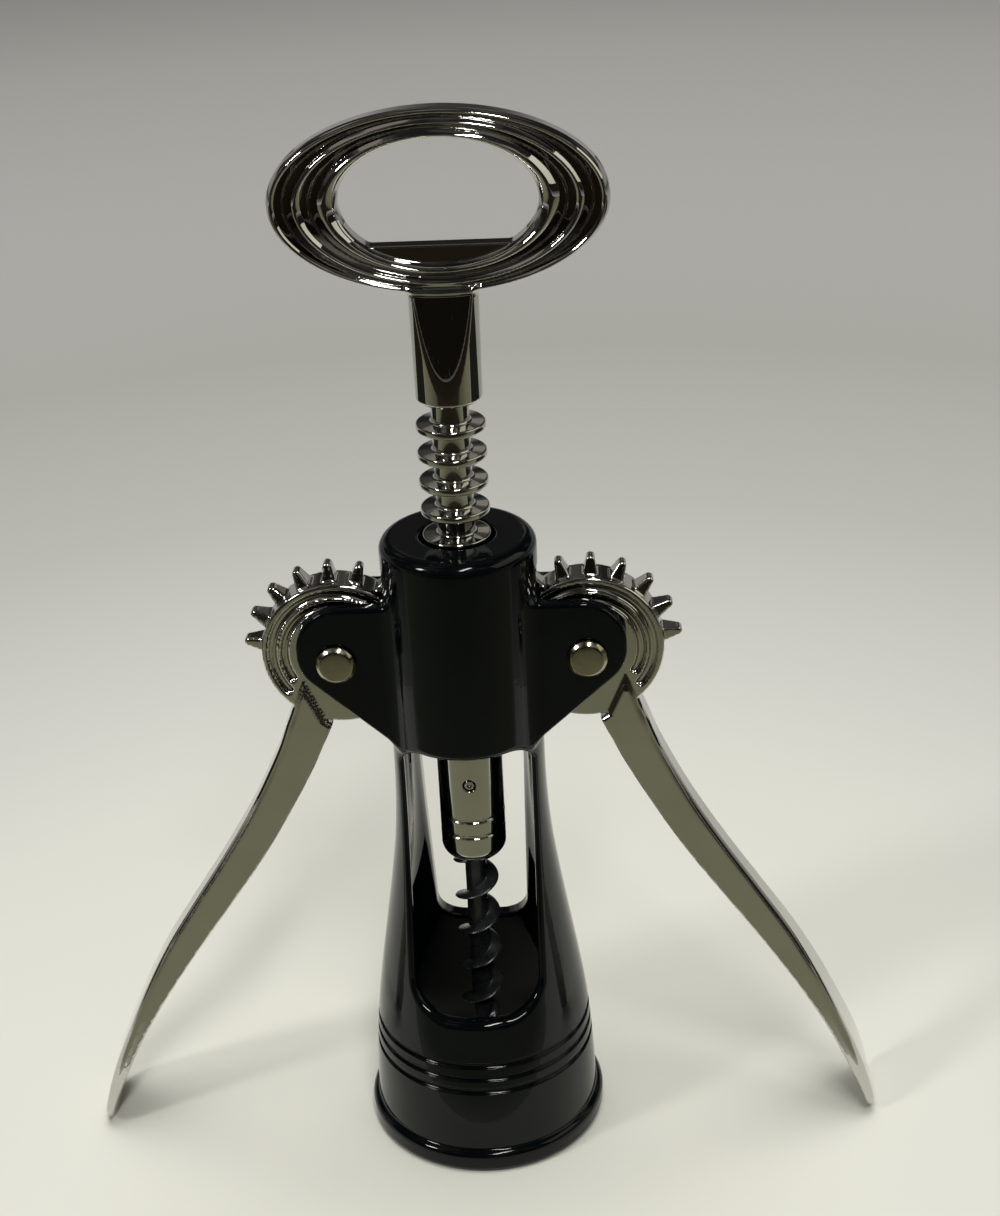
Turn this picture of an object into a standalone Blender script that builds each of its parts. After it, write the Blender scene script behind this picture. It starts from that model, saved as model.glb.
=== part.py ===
"""Wing corkscrew: a rack-and-pinion lever corkscrew standing on its bottle ring.

The origin is the centre of the foot's underside, +Z runs up the spindle, the two
levers open along X, and the front faces -Y.  Dimensions are in millimetres and are
scaled to metres by MM when the meshes are made.
"""
import math

import bmesh
import bpy
from mathutils import Matrix, Vector

MM = 0.001
GAP = 0.3                      # running clearance between neighbouring pieces

# body casting
TOP_Z = 124.2                  # top face of the upper cylinder
TOP_R = 13.9
TOP_ROUND = 2.0
FOOT_R = 22.9
MOUTH_R = 18.4                 # inside of the bottle ring
WALL = 3.2
CHAMBER_TOP_Z = 88.0
BORE_R = 6.7                   # guide bore for the rack
RIM_GROOVES_Z = (23.6, 20.8, 18.0)
WINDOW_HALF_W = 11.5
WINDOW_Z = (32.6, 85.6)

# ears and pivots
PIVOT_X = 22.2
PIVOT_Z = 102.6
EAR_INNER_Y = 4.5
EAR_OUTER_Y = 6.9
PIN_R = 2.0
PIN_HEAD_R = 3.6
PIN_HEAD_T = 1.2

# pinion and rack: 18 teeth to a full turn, of which 11 are cut
TEETH_PER_TURN = 18
TEETH_CUT = 11
FIRST_TOOTH_DEG = 6.5          # above the outward horizontal, with the levers at rest
TIP_R = 17.0
ROOT_R = 13.7
TOOTH_HALF_Y = 2.0
DISC_HALF_Y = 3.3
RING_PITCH = 5.18
RING_COUNT = 11
RING_TOP_Z = 145.3             # upper edge of the top ring
RING_R = 6.0
RING_CORE_R = 3.3
RING_T = 1.3

# spindle, collar and worm
ROD_R = 2.0
COLLAR_R = 6.05
COLLAR_Z = (58.6, 90.2)
COLLAR_PIN_Z = 76.2
WORM_CORE_R = 2.0
WORM_OUTER_R = 4.2
WORM_PITCH = 8.0
WORM_TIP_Z = 14.0

# handle
STEM_Z = (149.4, 171.5)
STEM_R = (5.7, 5.95)
OVAL_Z = 183.8
OVAL_HALF = (28.0, 15.3)
HOLE_Z = 183.8
HOLE_HALF = (16.4, 10.4)
OVAL_HALF_Y = 2.4
RIDGE_H = 0.7
OPENER_Z = 176.6
OPENER_HALF_Y = 1.6

# lever arm stations: height below the pivot, inner and outer edge in X, half width along Y
ARM = (
    (-5.6, 6.35, 7.0, 3.9),
    (-12.0, 3.6, 9.6, 3.9),
    (-15.0, 2.4, 10.8, 3.9),
    (-18.8, 4.2, 12.2, 3.8),
    (-22.6, 5.9, 13.9, 3.7),
    (-32.6, 11.3, 19.0, 3.6),
    (-42.6, 17.3, 25.0, 3.6),
    (-52.6, 24.2, 31.5, 3.7),
    (-62.6, 31.4, 37.9, 4.2),
    (-72.6, 38.3, 43.3, 5.2),
    (-82.6, 44.4, 47.9, 6.2),
    (-90.0, 48.1, 51.0, 7.1),
    (-96.6, 51.1, 53.1, 7.7),
    (-100.6, 52.5, 54.0, 7.2),
    (-102.2, 53.1, 54.3, 5.6),
)


def clear_scene():
    for obj in list(bpy.data.objects):
        bpy.data.objects.remove(obj, do_unlink=True)


def new_collection(name):
    collection = bpy.data.collections.new(name)
    bpy.context.scene.collection.children.link(collection)
    return collection


def new_material(name, colour, roughness, metallic):
    material = bpy.data.materials.new(name)
    material.use_nodes = True
    shader = material.node_tree.nodes["Principled BSDF"]
    shader.inputs["Base Color"].default_value = (*colour, 1.0)
    shader.inputs["Roughness"].default_value = roughness
    shader.inputs["Metallic"].default_value = metallic
    material.diffuse_color = (*colour, 1.0)
    return material


clear_scene()
PARTS = new_collection("wing_corkscrew")
CUTTERS = new_collection("cutters")
BLACK_LACQUER = new_material("black_lacquer", (0.012, 0.014, 0.014), 0.12, 0.0)
DARK_CHROME = new_material("dark_chrome", (0.24, 0.23, 0.21), 0.10, 1.0)
BRIGHT_CHROME = new_material("bright_chrome", (0.66, 0.65, 0.60), 0.08, 1.0)
PIN_NICKEL = new_material("pin_nickel", (0.58, 0.54, 0.42), 0.14, 1.0)
WORM_COATING = new_material("worm_coating", (0.020, 0.020, 0.021), 0.30, 0.0)


def scaled(point):
    return tuple(value * MM for value in point)


def new_object(name, mesh, cutter=False):
    obj = bpy.data.objects.new(name, mesh)
    if cutter:
        CUTTERS.objects.link(obj)
        obj.hide_render = True
        obj.display_type = 'WIRE'
    else:
        PARTS.objects.link(obj)
    return obj


def turned(name, profile, steps=32, cutter=False, closed=True):
    """Solid of revolution about Z; the profile runs down its outer side."""
    mesh = bpy.data.meshes.new(name)
    verts = [(r * MM, 0.0, z * MM) for r, z in profile]
    edges = [(i, i + 1) for i in range(len(verts) - 1)]
    if closed:
        edges.append((len(verts) - 1, 0))
    mesh.from_pydata(verts, edges, [])
    obj = new_object(name, mesh, cutter)
    screw = obj.modifiers.new("Turn", 'SCREW')
    screw.steps = steps
    screw.render_steps = steps
    screw.use_merge_vertices = True
    screw.merge_threshold = 0.00001
    return obj


def baked(obj, cutter=False):
    """Replace an object by the mesh its curve or modifiers produce, welded."""
    bpy.context.view_layer.update()
    graph = bpy.context.evaluated_depsgraph_get()
    mesh = bpy.data.meshes.new_from_object(obj.evaluated_get(graph))
    matrix = obj.matrix_world.copy()
    name = obj.name
    bpy.data.objects.remove(obj, do_unlink=True)
    work = bmesh.new()
    work.from_mesh(mesh)
    bmesh.ops.remove_doubles(work, verts=work.verts, dist=0.0000002)
    bmesh.ops.recalc_face_normals(work, faces=work.faces)
    work.to_mesh(mesh)
    work.free()
    mesh.name = name
    result = new_object(name, mesh, cutter)
    result.matrix_world = matrix
    return result


def plate(name, outline, y_from, y_to, cutter=False):
    """Flat outline of (x, z) points, extruded between two Y positions."""
    curve = bpy.data.curves.new(name, 'CURVE')
    curve.dimensions = '2D'
    curve.fill_mode = 'BOTH'
    curve.extrude = (y_to - y_from) / 2 * MM
    spline = curve.splines.new('POLY')
    spline.points.add(len(outline) - 1)
    for point, (x, z) in zip(spline.points, outline):
        point.co = (x * MM, z * MM, 0.0, 1.0)
    spline.use_cyclic_u = True
    obj = new_object(name, curve, cutter)
    obj.rotation_euler = (math.pi / 2, 0.0, 0.0)
    obj.location = (0.0, (y_from + y_to) / 2 * MM, 0.0)
    solid = baked(obj, cutter)
    solid.data.transform(solid.matrix_world)
    solid.matrix_world = Matrix.Identity(4)
    return solid


def loft(name, sections, closed=False):
    """Skin through rings of equal point counts, with flat ends unless closed."""
    work = bmesh.new()
    rings = [[work.verts.new(scaled(point)) for point in ring] for ring in sections]
    pairs = list(zip(rings, rings[1:]))
    if closed:
        pairs.append((rings[-1], rings[0]))
    count = len(rings[0])
    for first, second in pairs:
        for i in range(count):
            j = (i + 1) % count
            work.faces.new((first[i], first[j], second[j], second[i]))
    if not closed:
        work.faces.new(list(reversed(rings[0])))
        work.faces.new(rings[-1])
    bmesh.ops.recalc_face_normals(work, faces=work.faces)
    mesh = bpy.data.meshes.new(name)
    work.to_mesh(mesh)
    work.free()
    return new_object(name, mesh)


def along_y(obj, x=0.0, z=0.0):
    """Lay a turned piece down so that its axis runs along -Y, through (x, z)."""
    obj.rotation_euler = (math.pi / 2, 0.0, 0.0)
    obj.location = scaled((x, 0.0, z))
    bpy.context.view_layer.update()
    return obj


def combine(target, other, operation):
    modifier = target.modifiers.new(operation.title(), 'BOOLEAN')
    modifier.operation = operation
    modifier.object = other
    modifier.solver = 'EXACT'
    if other.name not in CUTTERS.objects:
        PARTS.objects.unlink(other)
        CUTTERS.objects.link(other)
        other.hide_render = True
        other.display_type = 'WIRE'


def arc(cx, cz, radius, start, end, steps):
    """Points on an arc, with angles in degrees."""
    angles = [math.radians(start + (end - start) * i / steps) for i in range(steps + 1)]
    return [(cx + radius * math.cos(a), cz + radius * math.sin(a)) for a in angles]


def finish(obj, material, parent, sharp=35.0):
    """Give a piece its material, smooth shading and the parent that carries it."""
    solid = baked(obj)
    solid.data.materials.clear()
    solid.data.materials.append(material)
    solid.data.shade_smooth()
    solid.data.set_sharp_from_angle(angle=math.radians(sharp))
    world = solid.matrix_world.copy()
    solid.parent = parent
    solid.matrix_parent_inverse = parent.matrix_world.inverted()
    solid.matrix_world = world
    return solid


def joint_empty(name, location, parent=None):
    empty = bpy.data.objects.new(name, None)
    empty.empty_display_size = 0.02
    empty.location = scaled(location)
    PARTS.objects.link(empty)
    if parent:
        empty.parent = parent
    bpy.context.view_layer.update()
    return empty


def body_radius(z):
    """Outside radius of the flared body at height z."""
    points = ((5.2, 21.6), (10.0, 21.4), (16.0, 21.2), (25.5, 20.4), (35.0, 19.0),
              (44.5, 17.5), (54.0, 15.95), (63.0, 14.65), (72.0, 14.0), (82.0, TOP_R))
    if z >= points[-1][0]:
        return TOP_R
    for (z0, r0), (z1, r1) in zip(points, points[1:]):
        if z <= z1:
            return r0 + (r1 - r0) * (z - z0) / (z1 - z0)
    return TOP_R


def body_outline():
    """Outside of the body, from the axis at the top to the axis at the foot."""
    profile = [(0.0, TOP_Z)]
    profile += list(reversed(arc(TOP_R - TOP_ROUND, TOP_Z - TOP_ROUND, TOP_ROUND, 0, 90, 4)))
    for z in (82.0, 72.0, 63.0, 54.0, 44.5, 35.0):
        profile.append((body_radius(z), z))
    for z in RIM_GROOVES_Z:
        r = body_radius(z)
        profile += [(r, z + 0.75), (r - 0.5, z), (r, z - 0.75)]
    profile += [(21.3, 12.0), (21.5, 5.6), (22.2, 4.9), (FOOT_R, 3.6), (FOOT_R, 1.3)]
    profile += [(FOOT_R - 0.8, 0.0), (0.0, 0.0)]
    return profile


def chamber_outline():
    """Inside of the body: the rack's bore, the worm chamber and the bottle mouth."""
    profile = [(0.0, TOP_Z + 5.0), (BORE_R, TOP_Z + 5.0), (BORE_R, CHAMBER_TOP_Z)]
    profile.append((body_radius(CHAMBER_TOP_Z) - WALL, CHAMBER_TOP_Z - 1.5))
    for z in (72.0, 63.0, 54.0, 44.5, 35.0, 25.5, 16.0):
        profile.append((body_radius(z) - WALL, z))
    profile += [(MOUTH_R, 8.0), (MOUTH_R, -5.0), (0.0, -5.0)]
    return profile


def rounded_window():
    half, (low, high) = WINDOW_HALF_W, WINDOW_Z
    big, small = 6.5, 4.0
    points = arc(half - small, high - small, small, 0, 90, 5)
    points += arc(-half + small, high - small, small, 90, 180, 5)
    points += arc(-half + big, low + big, big, 180, 270, 6)
    points += arc(half - big, low + big, big, 270, 360, 6)
    return points


def ear_outline(side):
    """One ear: flat top, rounded outer end and a diagonal lower edge."""
    points = [(-13.0, 10.6), (-1.0, 10.6)]
    points += list(reversed(arc(-1.2, 2.4, 8.2, 6, 84, 6)))
    points += [(7.0, 1.2), (7.0, -0.6), (6.5, -2.2), (5.4, -3.4)]
    points += [(-8.6, -16.2), (-13.0, -17.6)]
    return [(side * (PIVOT_X + x), PIVOT_Z + z) for x, z in points]


def make_body(parent):
    body = turned("body_casting", body_outline(), steps=36, closed=False)
    for side, tag in ((-1, "left"), (1, "right")):
        for face, y_from, y_to in (("front", -EAR_OUTER_Y, -EAR_INNER_Y + 0.6),
                                   ("rear", EAR_INNER_Y - 0.6, EAR_OUTER_Y)):
            ear = plate(f"ear_{tag}_{face}", ear_outline(side), y_from, y_to, cutter=True)
            combine(body, ear, 'UNION')
    chamber = turned("chamber", chamber_outline(), steps=36, cutter=True, closed=False)
    combine(body, chamber, 'DIFFERENCE')
    window = plate("window", rounded_window(), -30.0, 30.0, cutter=True)
    combine(body, window, 'DIFFERENCE')
    for side, tag in ((-1, "left"), (1, "right")):
        for name, radius, half_y in (("disc_pocket", ROOT_R + 0.6, EAR_INNER_Y),
                                     ("tooth_slot", TIP_R + 0.7, TOOTH_HALF_Y + 0.6),
                                     ("pin_bore", PIN_R + GAP, 12.0)):
            profile = [(0.0, half_y), (radius, half_y), (radius, -half_y), (0.0, -half_y)]
            tool = turned(f"{name}_{tag}", profile, steps=40, cutter=True, closed=False)
            along_y(tool, side * PIVOT_X, PIVOT_Z)
            combine(body, tool, 'DIFFERENCE')
    return finish(body, BLACK_LACQUER, parent)


def pin_profile():
    head_y = EAR_OUTER_Y + GAP
    top = head_y + PIN_HEAD_T
    return [(0.0, top), (PIN_HEAD_R - 0.9, top), (PIN_HEAD_R, top - 0.8), (PIN_HEAD_R, head_y),
            (PIN_R, head_y), (PIN_R, -head_y - 0.7), (0.0, -head_y - 0.7)]


def cap_profile():
    inner = -EAR_OUTER_Y - GAP
    bottom = inner - 1.6
    return [(0.0, bottom + 0.6), (PIN_R + GAP, bottom + 0.6), (PIN_R + GAP, inner),
            (PIN_HEAD_R, inner), (PIN_HEAD_R, bottom + 0.8), (PIN_HEAD_R - 0.9, bottom),
            (0.0, bottom)]


def make_pivots(parent):
    for side, tag in ((-1, "left"), (1, "right")):
        pin = turned(f"pivot_pin_{tag}", pin_profile(), steps=24, closed=False)
        finish(along_y(pin, side * PIVOT_X, PIVOT_Z), PIN_NICKEL, parent)
        cap = turned(f"pivot_cap_{tag}", cap_profile(), steps=24, closed=False)
        finish(along_y(cap, side * PIVOT_X, PIVOT_Z), PIN_NICKEL, parent)


def gear_outline():
    """Pinion outline: slender round-tipped teeth over the cut part, then a plain rim."""
    step = 360.0 / TEETH_PER_TURN
    shape = ((-5.6, ROOT_R - 0.4), (-3.3, ROOT_R + 1.2), (-2.1, TIP_R - 0.7), (-1.0, TIP_R - 0.1),
             (1.0, TIP_R - 0.1), (2.1, TIP_R - 0.7), (3.3, ROOT_R + 1.2), (5.6, ROOT_R - 0.4))
    polar = []
    for tooth in range(TEETH_CUT):
        centre = FIRST_TOOTH_DEG + tooth * step
        polar += [(centre + offset, radius) for offset, radius in shape]
    last = FIRST_TOOTH_DEG + (TEETH_CUT - 1) * step + 5.6
    rest = 360.0 + FIRST_TOOTH_DEG - 5.6 - last
    polar += [(last + rest * i / 12, ROOT_R - 0.4) for i in range(1, 12)]
    return [(r * math.cos(math.radians(a)), r * math.sin(math.radians(a))) for a, r in polar]


def disc_profile():
    """Pinion disc with two shallow ring channels on each face and a hub boss."""
    y = DISC_HALF_Y
    hub = EAR_INNER_Y - GAP
    upper = [(PIN_R + GAP, hub), (5.6, hub), (5.6, y), (9.0, y), (9.4, y - 0.5), (10.0, y - 0.5),
             (10.4, y), (11.1, y), (11.5, y - 0.5), (12.1, y - 0.5), (12.5, y), (13.2, y),
             (ROOT_R, y - 0.5)]
    lower = [(r, -h) for r, h in reversed(upper)]
    return upper + lower


def arm_section(z, inner_x, outer_x, half_y):
    """Rectangle with cut corners across the arm, between its inner and outer edges."""
    corner = min(1.3, (outer_x - inner_x) * 0.35)
    near, far = inner_x + corner, outer_x - corner
    flat = half_y - corner
    return [(near, half_y, z), (inner_x, flat, z), (inner_x, -flat, z), (near, -half_y, z),
            (far, -half_y, z), (outer_x, -flat, z), (outer_x, flat, z), (far, half_y, z)]


def make_lever(tag, side, parent):
    """Pinion and arm of the right lever, mirrored across X for the left one."""
    lever = along_y(turned(f"lever_{tag}", disc_profile(), steps=30))
    gear = plate(f"gear_{tag}", gear_outline(), -TOOTH_HALF_Y, TOOTH_HALF_Y, cutter=True)
    arm = loft(f"arm_{tag}", [arm_section(*station) for station in ARM])
    bore = turned(f"lever_bore_{tag}", [(0.0, 9.0), (PIN_R + GAP, 9.0), (PIN_R + GAP, -9.0),
                                        (0.0, -9.0)], steps=24, cutter=True, closed=False)
    along_y(bore)
    combine(lever, gear, 'UNION')
    combine(lever, arm, 'UNION')
    combine(lever, bore, 'DIFFERENCE')
    lever = baked(lever)
    lever.data.transform(lever.matrix_world)
    lever.matrix_world = Matrix.Identity(4)
    if side < 0:
        lever.data.transform(Matrix.Scale(-1.0, 4, Vector((1.0, 0.0, 0.0))))
        lever.data.flip_normals()
    lever.location = scaled((side * PIVOT_X, 0.0, PIVOT_Z))
    bpy.context.view_layer.update()
    return finish(lever, BRIGHT_CHROME, parent)


def rack_profile():
    """Sleeve with annular rack rings, bored for the spindle rod."""
    top, bottom = STEM_Z[0] - GAP, COLLAR_Z[1] + GAP
    profile = [(ROD_R + GAP, top), (RING_CORE_R, top)]
    for i in range(RING_COUNT):
        z = RING_TOP_Z - i * RING_PITCH
        profile += [(RING_CORE_R, z + 0.4), (RING_R - 0.3, z), (RING_R, z - RING_T / 2),
                    (RING_R - 0.3, z - RING_T), (RING_CORE_R, z - RING_T - 0.4)]
    profile += [(RING_CORE_R, bottom), (ROD_R + GAP, bottom)]
    return profile


def rod_profile():
    """Rod and collar in one turning, with a socket for the worm's shank."""
    low, high = COLLAR_Z
    r = COLLAR_R
    socket_r, socket_top = 2.5, low + 22.0
    profile = [(0.0, 164.0), (ROD_R - 0.4, 164.0), (ROD_R, 163.4), (ROD_R, high), (r - 0.5, high),
               (r, high - 0.5)]
    for z in (68.4, 64.9):
        profile += [(r, z + 0.6), (r - 0.45, z + 0.25), (r - 0.45, z - 0.25), (r, z - 0.6)]
    profile += [(r, 63.0), (r - 0.5, 61.0), (r - 1.6, 59.4), (r - 3.0, low), (socket_r, low)]
    profile += [(socket_r, socket_top), (0.0, socket_top)]
    return profile


def make_spindle(parent):
    rod = turned("spindle_rod", rod_profile(), steps=28, closed=False)
    hole = turned("collar_pin_bore", [(0.0, 9.0), (1.2, 9.0), (1.2, -9.0), (0.0, -9.0)],
                  steps=16, cutter=True, closed=False)
    along_y(hole, 0.0, COLLAR_PIN_Z)
    combine(rod, hole, 'DIFFERENCE')
    finish(rod, BRIGHT_CHROME, parent)
    end = COLLAR_R - 0.1
    profile = [(0.0, end), (0.6, end), (0.9, end - 0.3), (0.9, -end + 0.3), (0.6, -end), (0.0, -end)]
    pin = turned("worm_pin", profile, steps=16, closed=False)
    finish(along_y(pin, 0.0, COLLAR_PIN_Z), BRIGHT_CHROME, parent)


def worm_section(z, taper, rise):
    """Core circle with a helical flight: the ridge faces the helix angle at this height."""
    turn = 2.0 * math.pi * (COLLAR_Z[0] - z) / WORM_PITCH
    core = WORM_CORE_R * (0.25 + 0.75 * taper)
    crest = core + (WORM_OUTER_R - WORM_CORE_R) * taper * rise
    shape = [(0, crest), (16, core + (crest - core) * 0.7), (34, core)]
    shape += [(34 + 292 * i / 7, core) for i in range(1, 8)]
    shape.append((344, core + (crest - core) * 0.7))
    ring = []
    for degrees, radius in shape:
        angle = math.radians(degrees) - turn - math.pi / 2
        ring.append((radius * math.cos(angle), radius * math.sin(angle), z))
    return ring


def make_worm(parent):
    shank = [(0.0, COLLAR_Z[0] + 21.6), (2.2, COLLAR_Z[0] + 21.6), (2.2, 57.4), (1.4, 56.6),
             (0.0, 56.6)]
    worm = turned("worm", shank, steps=20, closed=False)
    start, steps_per_turn = 58.2, 12
    levels = int((start - WORM_TIP_Z) / WORM_PITCH * steps_per_turn)
    sections = []
    for i in range(levels + 1):
        z = start - (start - WORM_TIP_Z) * i / levels
        taper = min(1.0, 0.12 + (z - WORM_TIP_Z) / 11.0)
        rise = min(1.0, 0.05 + (start - z) / 1.5)
        sections.append(worm_section(z, taper, rise))
    flight = loft("worm_flight", sections)
    combine(worm, flight, 'UNION')
    hole = turned("shank_pin_bore", [(0.0, 9.0), (1.2, 9.0), (1.2, -9.0), (0.0, -9.0)],
                  steps=16, cutter=True, closed=False)
    along_y(hole, 0.0, COLLAR_PIN_Z)
    combine(worm, hole, 'DIFFERENCE')
    return finish(worm, WORM_COATING, parent)


def oval_sections(stations=44):
    """Ring sections around the oval: three rounded ridges on the front and the rear."""
    sections = []
    across = (0.0, 0.06, 0.20, 0.33, 0.37, 0.50, 0.63, 0.67, 0.80, 0.94, 1.0)
    lift = (-1.3, 0.0, 1.0, 0.15, 0.15, 1.0, 0.15, 0.15, 1.0, 0.0, -1.3)
    for i in range(stations):
        a = 2.0 * math.pi * i / stations
        outer = Vector((OVAL_HALF[0] * math.cos(a), OVAL_Z + OVAL_HALF[1] * math.sin(a)))
        inner = Vector((HOLE_HALF[0] * math.cos(a), HOLE_Z + HOLE_HALF[1] * math.sin(a)))
        ring = []
        for side in (-1, 1):
            row = []
            for t, h in zip(across, lift):
                point = inner.lerp(outer, t)
                height = OVAL_HALF_Y + RIDGE_H * h
                row.append((point.x, side * height, point.y))
            ring += row if side < 0 else list(reversed(row))
        sections.append(ring)
    return sections


def opener_outline():
    """Web across the bottom of the oval hole, flat on top, for lifting crown caps."""
    grow = 1.5
    half = HOLE_HALF[0] + grow, HOLE_HALF[1] + grow
    start = math.degrees(math.asin((OPENER_Z - HOLE_Z) / half[1]))
    angles = [math.radians(start - (180.0 + 2.0 * start) * i / 16) for i in range(17)]
    return [(half[0] * math.cos(a), HOLE_Z + half[1] * math.sin(a)) for a in angles]


def make_handle(parent):
    handle = loft("handle", oval_sections(), closed=True)
    web = plate("opener_web", opener_outline(), -OPENER_HALF_Y, OPENER_HALF_Y, cutter=True)
    combine(handle, web, 'UNION')
    low, high = STEM_Z
    profile = [(0.0, high), (STEM_R[1], high), (STEM_R[1], high - 3.0), (STEM_R[0], low + 0.8),
               (STEM_R[0] - 0.8, low), (0.0, low)]
    stem = turned("stem", profile, steps=32, closed=False)
    for side in (-1, 1):
        scoop = new_object(f"scoop_{'front' if side < 0 else 'rear'}",
                           bpy.data.meshes.new("scoop"), cutter=True)
        work = bmesh.new()
        bmesh.ops.create_cube(work, size=1.0)
        work.to_mesh(scoop.data)
        work.free()
        tilt = math.atan2(2.7, 17.0)
        size = Matrix.Diagonal((*scaled((20.0, 6.0, 40.0)), 1.0))
        place = Matrix.Translation(scaled((0.0, side * 5.75, 152.6)))
        turn = Matrix.Rotation(side * tilt, 4, 'X')
        lift = Matrix.Translation(scaled((0.0, side * 3.0, 20.0)))
        scoop.data.transform(place @ turn @ lift @ size)
        combine(stem, scoop, 'DIFFERENCE')
    stem = baked(stem, cutter=True)
    combine(handle, stem, 'UNION')
    bore = [(0.0, 165.0), (ROD_R + GAP, 164.4), (ROD_R + GAP, 140.0), (0.0, 140.0)]
    socket = turned("rod_socket", bore, steps=24, cutter=True, closed=False)
    combine(handle, socket, 'DIFFERENCE')
    return finish(handle, DARK_CHROME, parent)


frame = joint_empty("frame_axis", (0.0, 0.0, 0.0))
carriage = joint_empty("rack_axis", (0.0, 0.0, RING_TOP_Z), frame)
spindle = joint_empty("spindle_axis", (0.0, 0.0, 0.0), carriage)
spindle.location = scaled((0.0, 0.0, COLLAR_Z[1] - RING_TOP_Z))
bpy.context.view_layer.update()

make_body(frame)
make_pivots(frame)
for lever_tag, lever_side in (("left", -1), ("right", 1)):
    axis = joint_empty(f"lever_{lever_tag}_axis", (lever_side * PIVOT_X, 0.0, PIVOT_Z), frame)
    make_lever(lever_tag, lever_side, axis)
finish(turned("rack", rack_profile(), steps=18), BRIGHT_CHROME, carriage)
make_spindle(spindle)
make_worm(spindle)
make_handle(spindle)
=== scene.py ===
"""Visual model of the wing corkscrew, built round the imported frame.

Lengths in the shape functions are millimetres, in the frame's axes: +Z up, the front
facing -Y.  Castings are distance fields turned into smooth meshes; turned pieces are
profiles swept round their axis.
"""
import math

import bmesh
import bpy
import numpy as np
from mathutils import Matrix, Vector


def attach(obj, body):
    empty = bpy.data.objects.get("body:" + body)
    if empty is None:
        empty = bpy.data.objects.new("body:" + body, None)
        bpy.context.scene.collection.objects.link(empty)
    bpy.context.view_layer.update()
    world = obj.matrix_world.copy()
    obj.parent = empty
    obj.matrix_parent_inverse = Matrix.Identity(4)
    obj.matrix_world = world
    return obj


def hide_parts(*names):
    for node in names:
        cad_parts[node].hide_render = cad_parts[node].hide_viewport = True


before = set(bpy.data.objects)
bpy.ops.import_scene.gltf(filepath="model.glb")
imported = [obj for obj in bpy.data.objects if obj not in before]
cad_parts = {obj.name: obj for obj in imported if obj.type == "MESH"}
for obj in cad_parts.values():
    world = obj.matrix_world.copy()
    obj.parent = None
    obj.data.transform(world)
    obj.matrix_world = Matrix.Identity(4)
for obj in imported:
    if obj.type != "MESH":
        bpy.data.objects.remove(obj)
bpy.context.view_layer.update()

MM = 0.001

# dimensions shared with the CAD
TOP_Z, TOP_R = 124.2, 13.9
FOOT_R, MOUTH_R, WALL = 22.9, 18.4, 3.2
CHAMBER_TOP_Z, BORE_R = 88.0, 6.7
RIM_GROOVES_Z = (23.6, 20.8, 18.0)
WINDOW_HALF_W, WINDOW_LOW, WINDOW_HIGH = 11.5, 32.6, 85.6
PIVOT_X, PIVOT_Z = 22.2, 102.6
EAR_INNER_Y, EAR_OUTER_Y = 4.5, 6.9
PIN_R, PIN_HEAD_R, PIN_HEAD_T = 2.0, 3.6, 1.2
TOOTH_STEP, TEETH_CUT, FIRST_TOOTH = 20.0, 11, 6.5
TIP_R, ROOT_R, TOOTH_HALF_Y = 17.0, 13.7, 2.0
DISC_HALF_Y = 3.3
RING_PITCH, RING_COUNT, RING_TOP_Z = 5.18, 11, 145.3
RING_R, RING_CORE_R, RING_T = 6.0, 3.3, 1.3
ROD_R, COLLAR_R, COLLAR_LOW, COLLAR_HIGH, COLLAR_PIN_Z = 2.0, 6.05, 58.6, 90.2, 76.2
WORM_CORE_R, WORM_OUTER_R, WORM_PITCH, WORM_TIP_Z = 2.0, 4.2, 8.0, 14.0
STEM_LOW, STEM_HIGH, STEM_R_LOW, STEM_R_HIGH = 149.4, 171.5, 5.7, 5.95
OVAL_Z, OVAL_A, OVAL_B = 183.8, 28.0, 15.3
HOLE_Z, HOLE_A, HOLE_B = 183.8, 16.4, 10.4
OPENER_Z = 176.6


# ---------------------------------------------------------------- camera and stage

def make_camera(focal_px, pitch, roll, distance, height, offset, yaw):
    """Pinhole camera: looks along +Y pitched down, then the whole rig turned about Z."""
    data = bpy.data.cameras.new("camera")
    data.sensor_width = 36.0
    data.lens = 36.0 * focal_px / 1216.0
    data.clip_start, data.clip_end = 0.01, 20.0
    cam = bpy.data.objects.new("camera", data)
    bpy.context.scene.collection.objects.link(cam)
    aim = Matrix.Rotation(math.radians(90.0 - pitch), 4, 'X')
    aim = aim @ Matrix.Rotation(math.radians(-roll), 4, 'Z')
    place = Matrix.Translation((offset * MM, -distance * MM, height * MM))
    cam.matrix_world = Matrix.Rotation(math.radians(yaw), 4, 'Z') @ place @ aim
    bpy.context.scene.camera = cam


make_camera(2121.8, 26.5, 2.75, 338.0, 277.7, 6.9, 2.8)


# ---------------------------------------------------------------- distance fields

def round_union(a, b, r):
    return np.maximum(r, np.minimum(a, b)) - np.hypot(np.maximum(r - a, 0), np.maximum(r - b, 0))


def round_cut(a, b, r):
    """Intersection of a and b with a circular edge of radius r."""
    return np.minimum(-r, np.maximum(a, b)) + np.hypot(np.maximum(r + a, 0), np.maximum(r + b, 0))


def segment(px, pz, a, b):
    """Distance to a line segment, and the place along it from 0 to 1."""
    dx, dz = b[0] - a[0], b[1] - a[1]
    t = np.clip(((px - a[0]) * dx + (pz - a[1]) * dz) / (dx * dx + dz * dz), 0, 1)
    return np.hypot(px - a[0] - t * dx, pz - a[1] - t * dz), t


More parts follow.
